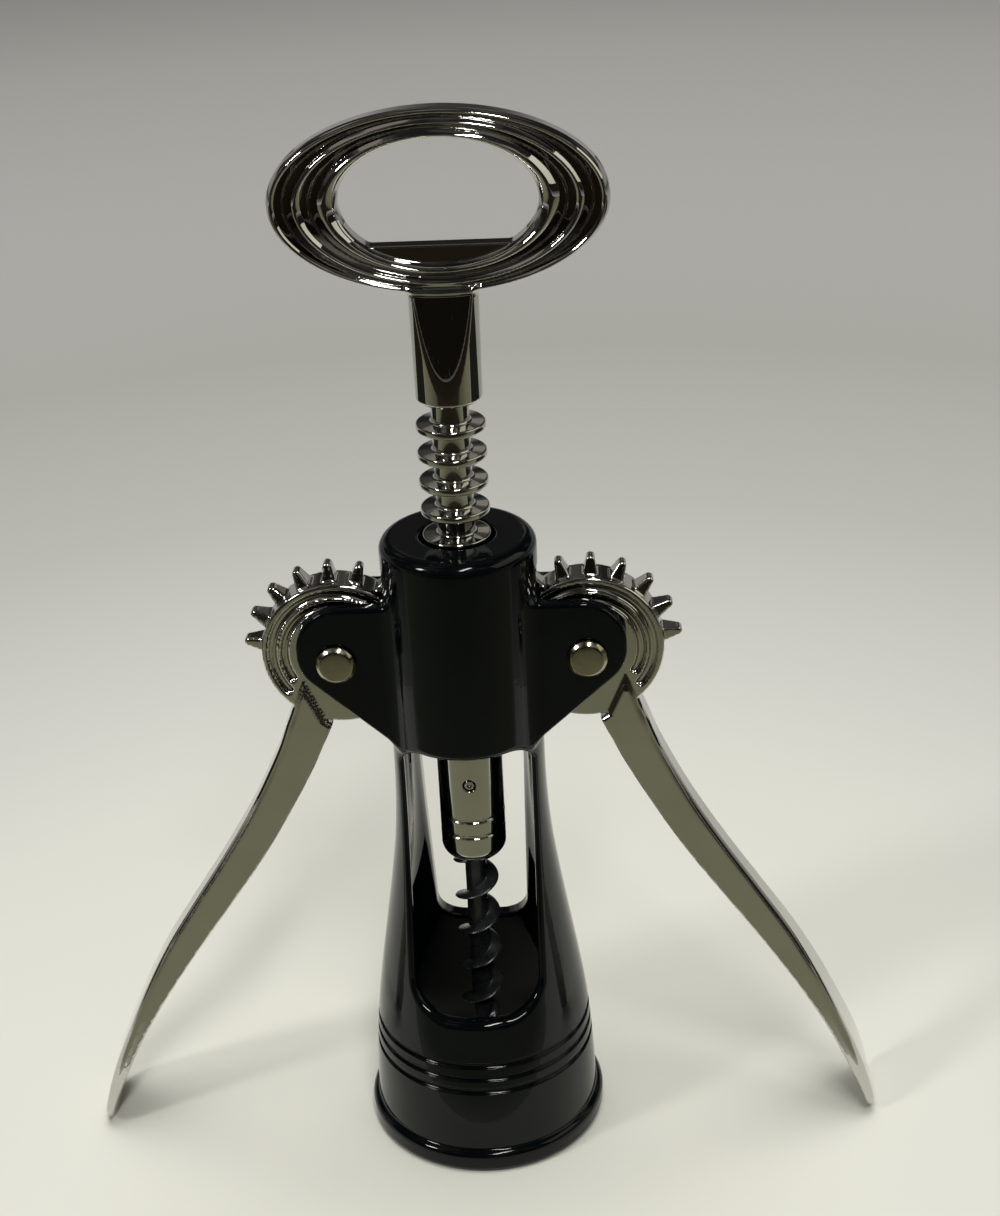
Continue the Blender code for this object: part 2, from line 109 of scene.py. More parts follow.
def polygon(px, pz, corners):
    """Signed distance to a closed polygon, negative inside."""
    best = None
    inside = np.zeros(px.shape, bool)
    for a, b in zip(corners, corners[1:] + corners[:1]):
        d, _ = segment(px, pz, a, b)
        best = d if best is None else np.minimum(best, d)
        crosses = (a[1] > pz) != (b[1] > pz)
        slope = (b[0] - a[0]) / ((b[1] - a[1]) or 1e-9)
        inside ^= crosses & (px < a[0] + (pz - a[1]) * slope)
    return np.where(inside, -best, best)


def rounded_box(px, pz, cx, cz, hx, hz, r):
    qx, qz = np.abs(px - cx) - hx + r, np.abs(pz - cz) - hz + r
    return np.minimum(np.maximum(qx, qz), 0) + np.hypot(np.maximum(qx, 0), np.maximum(qz, 0)) - r


def half_plane(px, pz, a, b):
    """Signed distance to the line from a to b, positive on its left."""
    dx, dz = b[0] - a[0], b[1] - a[1]
    return (dx * (pz - a[1]) - dz * (px - a[0])) / math.hypot(dx, dz)


def smooth_curve(points, count=400):
    """Monotone cubic table through (position, value) points."""
    points = sorted(points)
    x = np.array([p[0] for p in points], float)
    y = np.array([p[1] for p in points], float)
    slope = np.diff(y) / np.diff(x)
    tangent = np.concatenate(([slope[0]], (slope[1:] + slope[:-1]) / 2, [slope[-1]]))
    tangent[1:-1] = np.where(slope[1:] * slope[:-1] <= 0, 0, tangent[1:-1])
    at = np.linspace(x[0], x[-1], count)
    k = np.clip(np.searchsorted(x, at) - 1, 0, len(x) - 2)
    h = x[k + 1] - x[k]
    t = (at - x[k]) / h
    value = ((2 * t**3 - 3 * t**2 + 1) * y[k] + (t**3 - 2 * t**2 + t) * h * tangent[k]
             + (3 * t**2 - 2 * t**3) * y[k + 1] + (t**3 - t**2) * h * tangent[k + 1])
    return at, value


# ---------------------------------------------------------------- meshes from fields

def net_vertices(values, axes):
    """One vertex for each grid cell that the surface crosses."""
    inside = values < 0
    nx, ny, nz = values.shape
    corners = [(i, j, k) for i in (0, 1) for j in (0, 1) for k in (0, 1)]
    count = sum(inside[i:nx - 1 + i, j:ny - 1 + j, k:nz - 1 + k].astype(np.int8)
                for i, j, k in corners)
    active = (count > 0) & (count < 8)
    cells = np.argwhere(active)
    index = np.full(active.shape, -1, np.int32)
    index[active] = np.arange(len(cells))
    total, weight = np.zeros((len(cells), 3)), np.zeros((len(cells), 1))
    for a in corners:
        for axis in range(3):
            if a[axis]:
                continue
            b = tuple(a[n] + (n == axis) for n in range(3))
            va = values[tuple((cells + a).T)].astype(float)
            vb = values[tuple((cells + b).T)].astype(float)
            cross = (va < 0) != (vb < 0)
            t = np.where(cross, va / np.where(cross, va - vb, 1), 0)
            point = np.array(a, float) + t[:, None] * (np.array(b, float) - np.array(a, float))
            total += point * cross[:, None]
            weight += cross[:, None]
    grid = cells + total / weight
    points = [np.interp(grid[:, n], np.arange(len(axes[n])), axes[n]) for n in range(3)]
    return np.stack(points, 1), index, inside


def net_faces(index, inside):
    """A quad round each grid edge that the surface crosses."""
    quads = []
    for axis in range(3):
        u, v = (axis + 1) % 3, (axis + 2) % 3
        first = np.take(inside, range(inside.shape[axis] - 1), axis)
        second = np.take(inside, range(1, inside.shape[axis]), axis)
        for begins_inside in (True, False):
            edges = np.argwhere((first == begins_inside) & (second != begins_inside))
            edges = edges[(edges[:, u] > 0) & (edges[:, v] > 0)]
            edges = edges[(edges[:, u] < inside.shape[u] - 1) & (edges[:, v] < inside.shape[v] - 1)]
            ring = []
            for du, dv in ((0, 0), (-1, 0), (-1, -1), (0, -1)):
                near = edges.copy()
                near[:, u] += du
                near[:, v] += dv
                ring.append(index[tuple(near.T)])
            if not begins_inside:
                ring.reverse()
            quads.append(np.stack(ring, 1))
    return np.concatenate(quads)


def gradient(field, p, step=0.015):
    slope = np.empty_like(p)
    for axis in range(3):
        ahead, behind = p.copy(), p.copy()
        ahead[:, axis] += step
        behind[:, axis] -= step
        slope[:, axis] = (field(*ahead.T) - field(*behind.T)) / (2 * step)
    return slope


def stops(*parts):
    """Grid positions from (end, spacing) parts that follow on from a start."""
    at = [float(parts[0])]
    for end, spacing in parts[1:]:
        count = max(1, round((end - at[-1]) / spacing))
        at += list(np.linspace(at[-1], end, count + 1)[1:])
    return np.array(at)


def field_mesh(name, field, axes, cell):
    """Smooth mesh of a distance field's zero level, with normals from the field itself."""
    values = np.empty([len(a) for a in axes], np.float32)
    for i in range(0, len(axes[0]), 16):
        values[i:i + 16] = field(*np.meshgrid(axes[0][i:i + 16], axes[1], axes[2], indexing='ij'))
    points, index, inside = net_vertices(values, axes)
    quads = net_faces(index, inside)
    for _ in range(4):
        slope = gradient(field, points)
        size = np.maximum((slope**2).sum(1, keepdims=True), 0.05)
        move = -field(*points.T)[:, None] * slope / size
        length = np.linalg.norm(move, axis=1, keepdims=True)
        points += move * np.minimum(1, 0.5 * cell / np.maximum(length, 1e-9))
    normals = gradient(field, points)
    normals /= np.maximum(np.linalg.norm(normals, axis=1, keepdims=True), 1e-9)
    a, b, c = (points[quads[:, i]] for i in (0, 1, 2))
    facing = np.cross(b - a, c - a)
    if (facing * normals[quads[:, 0]]).sum() < 0:
        quads = quads[:, ::-1]
    return mesh_from_arrays(name, points, quads, normals)


def mesh_from_arrays(name, points, quads, normals=None):
    mesh = bpy.data.meshes.new(name)
    mesh.vertices.add(len(points))
    mesh.vertices.foreach_set("co", (np.asarray(points) * MM).astype(np.float32).ravel())
    mesh.loops.add(quads.size)
    mesh.loops.foreach_set("vertex_index", quads.astype(np.int32).ravel())
    mesh.polygons.add(len(quads))
    mesh.polygons.foreach_set("loop_start", np.arange(0, quads.size, 4, dtype=np.int32))
    mesh.update(calc_edges=True)
    mesh.validate()
    mesh.shade_smooth()
    if normals is not None:
        mesh.normals_split_custom_set_from_vertices(normals.tolist())
    return mesh


def place(name, mesh, material, body, slot, *nodes):
    obj = bpy.data.objects.new(name, mesh)
    bpy.context.scene.collection.objects.link(obj)
    mesh.materials.clear()
    mesh.materials.append(material)
    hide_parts(*nodes)
    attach(obj, body)
    return obj


# ---------------------------------------------------------------- turned pieces

def rounded_profile(corners, steps=4):
    """Profile of (r, z, corner radius) points, each corner replaced by a small arc."""
    points = []
    for i, (r, z, radius) in enumerate(corners):
        if radius <= 0 or i in (0, len(corners) - 1):
            points.append((r, z))
            continue
        here = Vector((r, z))
        before = Vector(corners[i - 1][:2]) - here
        after = Vector(corners[i + 1][:2]) - here
        reach = min(radius, before.length * 0.48, after.length * 0.48)
        start, end = here + before.normalized() * reach, here + after.normalized() * reach
        for k in range(steps + 1):
            t = k / steps
            p = start * (1 - t)**2 + here * (2 * t * (1 - t)) + end * t**2
            points.append((p.x, p.y))
    return points


def turned_mesh(name, profile, steps=96):
    """Sweep a (radius, z) profile round Z, ends on the axis, running down its outer side."""
    points, faces = [], []
    for i in range(steps):
        a = 2 * math.pi * i / steps
        points += [(r * math.cos(a), r * math.sin(a), z) for r, z in profile]
    n = len(profile)
    for i in range(steps):
        j = (i + 1) % steps
        for k in range(n - 1):
            faces.append((i * n + k, i * n + k + 1, j * n + k + 1, j * n + k))
    work = bmesh.new()
    verts = [work.verts.new(Vector(p) * MM) for p in points]
    for face in faces:
        work.faces.new([verts[v] for v in face])
    bmesh.ops.remove_doubles(work, verts=work.verts, dist=1e-7)
    bmesh.ops.dissolve_degenerate(work, edges=work.edges, dist=1e-8)
    bmesh.ops.recalc_face_normals(work, faces=work.faces)
    mesh = bpy.data.meshes.new(name)
    work.to_mesh(mesh)
    work.free()
    mesh.shade_smooth()
    mesh.set_sharp_from_angle(angle=math.radians(32))
    return mesh


def laid_along_y(mesh, x, z, flip=False):
    turn = Matrix.Rotation(math.radians(-90 if flip else 90), 4, 'X')
    mesh.transform(Matrix.Translation((x * MM, 0, z * MM)) @ turn)
    return mesh


# ---------------------------------------------------------------- body casting

BODY_Z, BODY_R = smooth_curve([(-6, 21.6), (5.2, 21.6), (10, 21.45), (16, 21.15), (25.5, 20.35),
                               (35, 19.0), (44.5, 17.45), (54, 15.95), (63, 14.75), (72, 14.1),
                               (82, TOP_R), (100, TOP_R), (140, TOP_R)], 800)
BODY_SLOPE = np.gradient(BODY_R, BODY_Z)


def ear_shape(x, z):
    """Flat outline of one ear in the XZ plane, measured from the pivot, outward +x."""
    main = rounded_box(x, z, -6.0, 0.2, 13.0, 10.4, 3.0)
    corner = np.hypot(x + 1.2, z - 2.4) - 8.2
    top_right = np.where((x > -1.2) & (z > 2.4), corner, -50.0)
    lower = half_plane(x, z, (-8.6, -16.2), (5.4, -3.4))
    block = np.maximum.reduce([x - 7.0, z - 10.6, -x - 14.0, -18.5 - z])
    outline = np.maximum(block, top_right)
    return round_cut(outline, -lower, 2.2), main


def body_field(x, y, z):
    q = np.hypot(x, y)
    wide = np.interp(z, BODY_Z, BODY_R)
    slope = np.interp(z, BODY_Z, BODY_SLOPE)
    scale = 1 / np.sqrt(1 + slope * slope)
    side = (q - wide) * scale
    for gz in RIM_GROOVES_Z:
        side = round_cut(side, 0.62 - np.hypot(q - wide - 0.12, z - gz), 0.12)
    solid = round_cut(side, z - TOP_Z, 2.2)
    ax = np.abs(x)
    ear, _ = ear_shape(ax - PIVOT_X, z - PIVOT_Z)
    ears = round_cut(ear, np.abs(y) - EAR_OUTER_Y, 0.55)
    solid = round_union(solid, ears, 1.9)
    bead = rounded_box(q, z, 20.4, 2.35, 2.5, 2.35, 1.5)
    solid = round_union(solid, bead, 0.45)
    solid = np.maximum(solid, -z)
    inner = np.interp(z, BODY_Z, BODY_R) - WALL
    chamber = np.maximum((q - np.minimum(inner, MOUTH_R)) * scale, z - CHAMBER_TOP_Z)
    bore = q - BORE_R
    solid = round_cut(solid, -bore, 0.5)
    solid = round_cut(solid, -chamber, 0.5)
    mid = (WINDOW_LOW + WINDOW_HIGH) / 2
    high = (WINDOW_HIGH - WINDOW_LOW) / 2
    # the rear window is the narrower of the two, more so lower down
    rear = np.clip((y + 2) / 4, 0, 1)
    half = WINDOW_HALF_W - rear * np.interp(z, [36, 85], [2.7, 1.6])
    low_part = rounded_box(x, z, 0, mid, half, high, 6.5)
    high_part = rounded_box(x, z, 0, mid, half, high, 4.0)
    window = np.where(z < mid, low_part, high_part) * 0.95
    solid = round_cut(solid, -window, np.where(y > 0, 0.6, 1.5))
    r = np.hypot(ax - PIVOT_X, z - PIVOT_Z)
    disc_pocket = np.maximum(r - ROOT_R - 0.6, np.abs(y) - EAR_INNER_Y)
    gap = np.maximum.reduce([np.abs(y) - EAR_INNER_Y, 14.2 - ax, 80.0 - z])
    tooth_slot = np.maximum(r - TIP_R - 0.7, np.abs(y) - TOOTH_HALF_Y - 0.6)
    for hollow in (disc_pocket, gap, tooth_slot):
        solid = round_cut(solid, -hollow, 0.3)
    return np.maximum(solid, PIN_R + 0.3 - r)


# ---------------------------------------------------------------- levers

# arm stations: height below the pivot, inner and outer edge in X, half width along Y
ARM = ((-5.6, 6.35, 7.0, 3.9), (-12.0, 3.6, 9.6, 3.9), (-15.0, 2.4, 10.8, 3.9), (-18.8, 4.2, 12.2, 3.8),
       (-22.6, 5.9, 13.9, 3.7), (-32.6, 11.3, 19.0, 3.6), (-42.6, 17.3, 25.0, 3.6),
       (-52.6, 24.2, 31.5, 3.7), (-62.6, 31.4, 37.9, 4.2), (-72.6, 38.3, 43.3, 5.2),
       (-82.6, 44.4, 47.9, 6.2), (-90.0, 48.1, 51.0, 7.1), (-96.6, 51.1, 53.1, 7.7),
       (-103.0, 53.2, 54.5, 7.9))
ARM_IN = smooth_curve([(0, -3.0)] + [(z, x) for z, x, _, _ in ARM[2:]])
ARM_OUT = smooth_curve([(0, 5.8)] + [(z, x) for z, _, x, _ in ARM[1:]])
ARM_HALF = smooth_curve([(10, 3.9)] + [(z, h) for z, _, _, h in ARM])
ARM_TIP_Z = -102.2


def lever_field(x, y, z):
    """Right lever, measured from its pivot."""
    ay = np.abs(y)
    r = np.hypot(x, z)
    angle = np.degrees(np.arctan2(z, x))
    disc = round_cut(r - ROOT_R, ay - DISC_HALF_Y, 0.45)
    for radius, end in ((11.8, -37.0), (9.7, -28.5)):
        place_angle = np.radians(end)
        tip = np.hypot(x - radius * math.cos(place_angle), z - radius * math.sin(place_angle))
        span = np.where((angle > end) | (angle < -150), np.abs(r - radius), tip)
        channel = np.hypot(np.maximum(span, 0), (ay - DISC_HALF_Y - 0.15)) - 0.78
        disc = round_cut(disc, -channel, 0.12)
    gear = r - (ROOT_R - 0.5)
    for n in range(TEETH_CUT):
        a = math.radians(FIRST_TOOTH + TOOTH_STEP * n)
        root = (12.2 * math.cos(a), 12.2 * math.sin(a))
        tip = ((TIP_R - 0.75) * math.cos(a), (TIP_R - 0.75) * math.sin(a))
        d, t = segment(x, z, root, tip)
        gear = round_union(gear, d - (1.6 - 0.8 * t), 0.6)
    gear = round_cut(gear, (ay - TOOTH_HALF_Y + 0.25 * np.maximum(0, r - ROOT_R)) * 0.97, 0.4)
    solid = round_union(disc, gear, 0.25)
    inner = (np.interp(z, *ARM_IN) - x) * 0.86
    outer = (x - np.interp(z, *ARM_OUT)) * 0.86
    half = np.interp(z, *ARM_HALF)
    side = round_cut(ay - half, ARM_TIP_Z - z, 4.0)
    arm = round_cut(round_cut(side, outer, 1.5), inner, 0.4)
    for start, end in (((2.4, -15.0), (6.7, -5.2)), ((6.7, -5.2), (10.2, -12.6))):
        edge = half_plane(x, z, start, end) - 0.8 * np.maximum(0, -13.5 - z)
        arm = np.maximum(arm, edge)
        arm = round_cut(arm, (ay - 3.9 + (edge + 1.0) * 0.65) * 0.84, 0.15)
    slope = (ay - 3.9 + (z + 8.6) * 0.2) * 0.98
    arm = np.maximum(arm, np.where(z > -9, slope, -10))
    solid = round_union(solid, arm, 0.2)
    return np.maximum(solid, PIN_R + 0.3 - r)


# ---------------------------------------------------------------- handle

def ellipse(x, z, a, b):
    k = np.hypot(x / a, z / b)
    return k * (k - 1) / np.maximum(np.hypot(x / a**2, z / b**2), 1e-6)


def handle_field(x, y, z):
    ay = np.abs(y)
    outer = ellipse(x, z - OVAL_Z, OVAL_A, OVAL_B)
    inner = ellipse(x, z - HOLE_Z, HOLE_A, HOLE_B)
    width = np.maximum(inner - outer, 1.0)
    t = np.clip(inner / width, 0, 1)
    rise = np.clip(0.16 * width, 0.8, 1.7)
    crest = np.zeros_like(t)
    for centre, half in ((0.17, 0.21), (0.58, 0.165), (0.93, 0.15)):
        u = np.clip(np.abs(t - centre) / half, 0, 1)
        crest = np.maximum(crest, 1 - (np.sqrt(u * u + 0.03) - 0.173) / 0.842)
    height = 3.1 - rise * (1 - crest)
    ring = round_cut(outer, ay - height, 1.5)
    ring = round_cut(ring, -inner, 0.9)
    web = np.maximum(inner - 0.6, z - OPENER_Z)
    web = round_cut(web, ay - 1.6, 0.35)
    solid = round_union(ring, web, 0.3)
    q = np.hypot(x, y)
    radius = np.interp(z, [STEM_LOW, STEM_HIGH], [STEM_R_LOW, STEM_R_HIGH])
    stem = round_cut(q - radius, STEM_LOW - z, 0.7)
    tilt = math.atan2(2.7, 17.0)
    flat = (ay - 5.75) * math.cos(tilt) + (z - 152.6) * math.sin(tilt)
    stem = np.maximum(stem, z - 169.6)
    stem = round_cut(stem, flat, 0.35)
    solid = round_union(solid, stem, 1.2)
    socket = np.maximum(q - ROD_R - 0.3, z - 164.4)
    return np.maximum(solid, -socket)


# ---------------------------------------------------------------- spindle pieces

def collar_field(x, y, z):
    """Rod and collar, with a socket for the worm's shank and a cross bore."""
    q = np.hypot(x, y)
    side = q - COLLAR_R
    for gz in (68.4, 64.9):
        side = np.maximum(side, 0.36 - np.hypot(q - COLLAR_R - 0.14, z - gz))
    collar = round_cut(side, z - COLLAR_HIGH, 0.5)
    collar = round_cut(collar, COLLAR_LOW - z, 2.9)
    rod = np.maximum(q - ROD_R, z - 164.0)
    solid = np.minimum(collar, np.maximum(rod, COLLAR_LOW + 25 - z))
    socket = np.maximum(q - 2.5, z - COLLAR_LOW - 22)
    solid = round_cut(solid, -socket, 0.25)
    bore = 1.2 - np.hypot(x, z - COLLAR_PIN_Z)
    return round_cut(solid, bore, 0.15)


def rack_mesh():
    """Sleeve with annular rings, each with a rounded rim and filleted roots."""
    outer = [(RING_CORE_R, STEM_LOW - 0.3, 0)]
    for i in range(RING_COUNT):
        z = RING_TOP_Z - i * RING_PITCH
        outer += [(RING_CORE_R, z + 0.15, 0.5), (RING_R, z, 0.45), (RING_R + 0.05, z - 0.65, 0.3),
                  (RING_R, z - RING_T, 0.45), (RING_CORE_R, z - RING_T - 0.2, 0.5)]
    outer.append((RING_CORE_R, COLLAR_HIGH + 0.3, 0))
    inner = [(ROD_R + 0.3, COLLAR_HIGH + 0.3), (ROD_R + 0.3, STEM_LOW - 0.3)]
    profile = rounded_profile(outer) + inner
    return turned_mesh("rack", profile + profile[:1])


def pin_mesh():
    """Pivot pin: shallow domed head with a bevelled rim."""
    head = EAR_OUTER_Y + 0.3
    top = head + PIN_HEAD_T
    corners = [(0, top, 0), (1.4, top - 0.02, 0.5), (PIN_HEAD_R - 0.75, top - 0.08, 0.22),
               (PIN_HEAD_R, top - 0.75, 0.25), (PIN_HEAD_R, head, 0.12), (PIN_R, head, 0),
               (PIN_R, -head - 0.7, 0.3), (0, -head - 0.7, 0)]
    return turned_mesh("pin", rounded_profile(corners), 72)


def cap_mesh():
    inner = -EAR_OUTER_Y - 0.3
    bottom = inner - 1.6
    bore = PIN_R + 0.3
    corners = [(0, bottom + 0.6, 0), (bore, bottom + 0.6, 0), (bore, inner, 0.1),
               (PIN_HEAD_R, inner, 0.15), (PIN_HEAD_R, bottom + 0.75, 0.3),
               (PIN_HEAD_R - 0.8, bottom + 0.05, 0.25), (1.2, bottom, 0.4), (0, bottom, 0)]
    return turned_mesh("cap", rounded_profile(corners), 72)


def cross_pin_mesh():
    """Rolled cross pin: a tube end with a small dished centre."""
    end = COLLAR_R - 0.15
    corners = [(0, end - 0.55, 0), (0.38, end - 0.45, 0.1), (0.5, end, 0.1), (0.9, end, 0.18),
               (0.9, -end, 0.18), (0.5, -end, 0.1), (0.38, 0.45 - end, 0.1), (0, 0.55 - end, 0)]
    return turned_mesh("cross_pin", rounded_profile(corners), 40)


def worm_mesh():
    """Right-handed auger: a round core with one helical flight, fading into a plain shank."""
    around = np.linspace(-math.pi, math.pi, 72, endpoint=False)
    levels = np.concatenate((np.linspace(COLLAR_LOW + 21.6, 58.6, 8), np.linspace(58.4, WORM_TIP_Z, 270)))
    points = []
    for z in levels:
        taper = min(1.0, 0.10 + (z - WORM_TIP_Z) / 11.0)
        grow = min(1.0, max(0.0, (58.4 - z) / 1.8))
        grow = grow * grow * (3 - 2 * grow)
        core = (2.2 - 0.2 * grow) * (0.2 + 0.8 * taper)
        crest = (WORM_OUTER_R - WORM_CORE_R) * taper * grow
        ridge = np.clip(1 - (np.abs(around) / math.radians(36))**1.6, 0, 1)**0.75
        radius = core + crest * ridge
        angle = around - 2 * math.pi * (COLLAR_LOW - z) / WORM_PITCH - math.pi / 2
        points.append(np.stack((radius * np.cos(angle), radius * np.sin(angle), np.full(72, z)), 1))
    work = bmesh.new()
    rings = [[work.verts.new(Vector(p) * MM) for p in ring] for ring in points]
    for first, second in zip(rings, rings[1:]):
        for i in range(72):
            work.faces.new((first[i], second[i], second[(i + 1) % 72], first[(i + 1) % 72]))
    for ring, z in ((rings[0], levels[0]), (rings[-1], levels[-1] - 0.2)):
        centre = work.verts.new((0, 0, z * MM))
        for i in range(72):
            work.faces.new((ring[i], ring[(i + 1) % 72], centre))
    bmesh.ops.recalc_face_normals(work, faces=work.faces)
    mesh = bpy.data.meshes.new("worm")
    work.to_mesh(mesh)
    work.free()
    mesh.shade_smooth()
    mesh.set_sharp_from_angle(angle=math.radians(60))
    return mesh


# ---------------------------------------------------------------- materials

def add_stop(elements, n, at, value):
    """Set stop n of a colour ramp; the first reuses one of the two that it starts with."""
    if n == 0:
        elements.remove(elements[1])
        elements[0].position = at
    else:
        elements.new(at)
    stop = elements[n]
    stop.color = (*value, 1) if isinstance(value, tuple) else (value, value, value, 1)


class Look:
    """Small helper for building one node material."""

    def __init__(self, name, colour, rough, metal=0.0, ior=1.5):
        self.mat = bpy.data.materials.new(name)
        self.mat.use_nodes = True
        self.tree = self.mat.node_tree
        self.shader = self.tree.nodes["Principled BSDF"]
        self.shader.inputs["Base Color"].default_value = (*colour, 1)
        self.shader.inputs["Roughness"].default_value = rough
        self.shader.inputs["Metallic"].default_value = metal
        self.shader.inputs["IOR"].default_value = ior
        self.coords = self.tree.nodes.new("ShaderNodeTexCoord")

    def node(self, kind, **settings):
        node = self.tree.nodes.new("ShaderNode" + kind)
        for key, value in settings.items():
            if key in node.inputs:
                node.inputs[key].default_value = value
            else:
                setattr(node, key, value)
        return node

    def join(self, source, target):
        self.tree.links.new(source, target)

    def stretched(self, scale):
        place = self.node("Mapping")
        place.inputs["Scale"].default_value = scale
        self.join(self.coords.outputs["Object"], place.inputs["Vector"])
        return place.outputs["Vector"]

    def noise(self, scale, detail=3.0, rough=0.5, vector=None):
        node = self.node("TexNoise")
        node.inputs["Scale"].default_value = scale
        node.inputs["Detail"].default_value = detail
        node.inputs["Roughness"].default_value = rough
        self.join(vector or self.coords.outputs["Object"], node.inputs["Vector"])
        return node.outputs["Fac"]

    def ramp(self, source, *pairs):
        node = self.node("ValToRGB")
        for n, (at, value) in enumerate(pairs):
            add_stop(node.color_ramp.elements, n, at, value)
        self.join(source, node.inputs["Fac"])
        return node.outputs["Color"]

    def maths(self, operation, a, b):
        node = self.node("Math", operation=operation)
        for socket, value in zip(node.inputs, (a, b)):
            if isinstance(value, (int, float)):
                socket.default_value = value
            else:
                self.join(value, socket)
        return node.outputs["Value"]

    def bump(self, height, strength, distance):
        node = self.node("Bump")
        node.inputs["Strength"].default_value = strength
        node.inputs["Distance"].default_value = distance
        self.join(height, node.inputs["Height"])
        self.join(node.outputs["Normal"], self.shader.inputs["Normal"])


def lacquer():
    """Gloss black lacquer: faint orange peel, light smudges and fine dust."""
    look = Look("black_lacquer_look", (0.0010, 0.0018, 0.0022), 0.05)
    look.shader.inputs["Specular IOR Level"].default_value = 0.25
    smudge = look.noise(38, 5, 0.62)
    dust = look.noise(1600, 2, 0.5)
    rough = look.ramp(smudge, (0.30, 0.035), (0.52, 0.06), (0.70, 0.12))
    specks = look.ramp(dust, (0.70, 0.0), (0.80, 0.16))
    look.join(look.maths('ADD', rough, specks), look.shader.inputs["Roughness"])
    tint = look.ramp(look.noise(55, 4), (0.35, (0.0007, 0.0014, 0.0019)), (0.65, (0.0014, 0.0024, 0.0027)))
    look.join(tint, look.shader.inputs["Base Color"])
    look.bump(look.noise(420, 2, 0.4), 0.035, 0.0004)
    return look.mat


def chrome(name, colour, low, high, wave):
    """Plated metal: hairline scratches, handling smudges and slight waviness."""
    look = Look(name, colour, low, 1.0)
    smudge = look.ramp(look.noise(60, 6, 0.6), (0.38, low), (0.68, high))
    lines = look.noise(260, 2, 0.5, look.stretched((12, 9, 0.9)))
    scratch = look.ramp(lines, (0.64, 0.0), (0.70, 0.07))
    look.join(look.maths('ADD', smudge, scratch), look.shader.inputs["Roughness"])
    dark = tuple(c * 0.93 for c in colour)
    look.join(look.ramp(look.noise(90, 4), (0.35, dark), (0.65, colour)), look.shader.inputs["Base Color"])
    look.bump(look.noise(130, 2, 0.4), wave, 0.0006)
    return look.mat


def nickel():
    """Turned nickel: fine brushing and a warm tone."""
    look = Look("pin_nickel_look", (0.38, 0.35, 0.27), 0.15, 1.0)
    fine = look.noise(900, 3, 0.6, look.stretched((1, 1, 0.25)))
    look.join(look.ramp(fine, (0.3, 0.10), (0.7, 0.24)), look.shader.inputs["Roughness"])
    tone = look.ramp(look.noise(420, 4), (0.35, (0.33, 0.305, 0.225)), (0.65, (0.40, 0.375, 0.29)))
    look.join(tone, look.shader.inputs["Base Color"])
    look.bump(fine, 0.10, 0.0003)
    return look.mat


def coating():
    """Satin black coating on the worm, slightly rubbed."""
    look = Look("worm_coating_look", (0.010, 0.011, 0.012), 0.28)
    look.join(look.ramp(look.noise(240, 4), (0.35, 0.20), (0.65, 0.36)), look.shader.inputs["Roughness"])
    tone = look.ramp(look.noise(500, 3), (0.4, (0.008, 0.009, 0.010)), (0.75, (0.020, 0.021, 0.022)))
    look.join(tone, look.shader.inputs["Base Color"])
    look.bump(look.noise(1800, 2), 0.12, 0.0002)
    return look.mat


BLACK = lacquer()
CHROME = chrome("bright_chrome_look", (0.58, 0.575, 0.545), 0.035, 0.10, 0.05)
DARK = chrome("dark_chrome_look", (0.53, 0.52, 0.50), 0.02, 0.06, 0.015)
NICKEL = nickel()
WORM = coating()


# ---------------------------------------------------------------- assembly

body_axes = (stops(-30, (30, 0.45)), stops(-23.5, (23.5, 0.45)),
             stops(-0.6, (6.2, 0.25), (16.4, 0.5), (25.4, 0.22), (31, 0.5), (125, 0.5)))
place("body_shell", field_mesh("body", body_field, body_axes, 0.45), BLACK, "frame",
      "black_lacquer", "body_casting")

lever_axes = (stops(-18.4, (18.4, 0.3), (56.5, 0.42)), stops(-8.75, (8.65, 0.3)),
              stops(-102.9, (-15, 0.5), (18.4, 0.3)))
lever = field_mesh("lever", lever_field, lever_axes, 0.35)
left = lever.copy()
left.transform(Matrix.Scale(-1, 4, Vector((1, 0, 0))))
left.flip_normals()
for tag, side, mesh in (("right", 1, lever), ("left", -1, left)):
    mesh.transform(Matrix.Translation((side * PIVOT_X * MM, 0, PIVOT_Z * MM)))
    place(f"wing_{tag}", mesh, CHROME, f"wing_{tag}", "bright_chrome", f"lever_{tag}")
    for piece, shape in (("pivot_pin", pin_mesh()), ("pivot_cap", cap_mesh())):
        laid_along_y(shape, side * PIVOT_X, PIVOT_Z)
        place(f"{piece}_{tag}_turned", shape, NICKEL, "frame", "pin_nickel", f"{piece}_{tag}")

handle_axes = (stops(-28.6, (28.6, 0.26)), stops(-6.3, (6.3, 0.26)),
               stops(148.9, (168, 0.35), (199.8, 0.24)))
place("grip", field_mesh("grip", handle_field, handle_axes, 0.25), DARK, "spindle",
      "dark_chrome", "handle")
collar_axes = (stops(-6.4, (6.4, 0.28)), stops(-6.4, (6.4, 0.28)),
               stops(58.1, (90.6, 0.28), (164.4, 0.6)))
place("collar", field_mesh("collar", collar_field, collar_axes, 0.28), CHROME, "spindle",
      "bright_chrome", "spindle_rod")
place("rack_sleeve", rack_mesh(), CHROME, "carriage", "bright_chrome", "rack")
place("cross_pin", laid_along_y(cross_pin_mesh(), 0, COLLAR_PIN_Z), CHROME, "spindle",
      "bright_chrome", "worm_pin")
place("auger", worm_mesh(), WORM, "spindle", "worm_coating", "worm")


# ---------------------------------------------------------------- floor, lights, surroundings

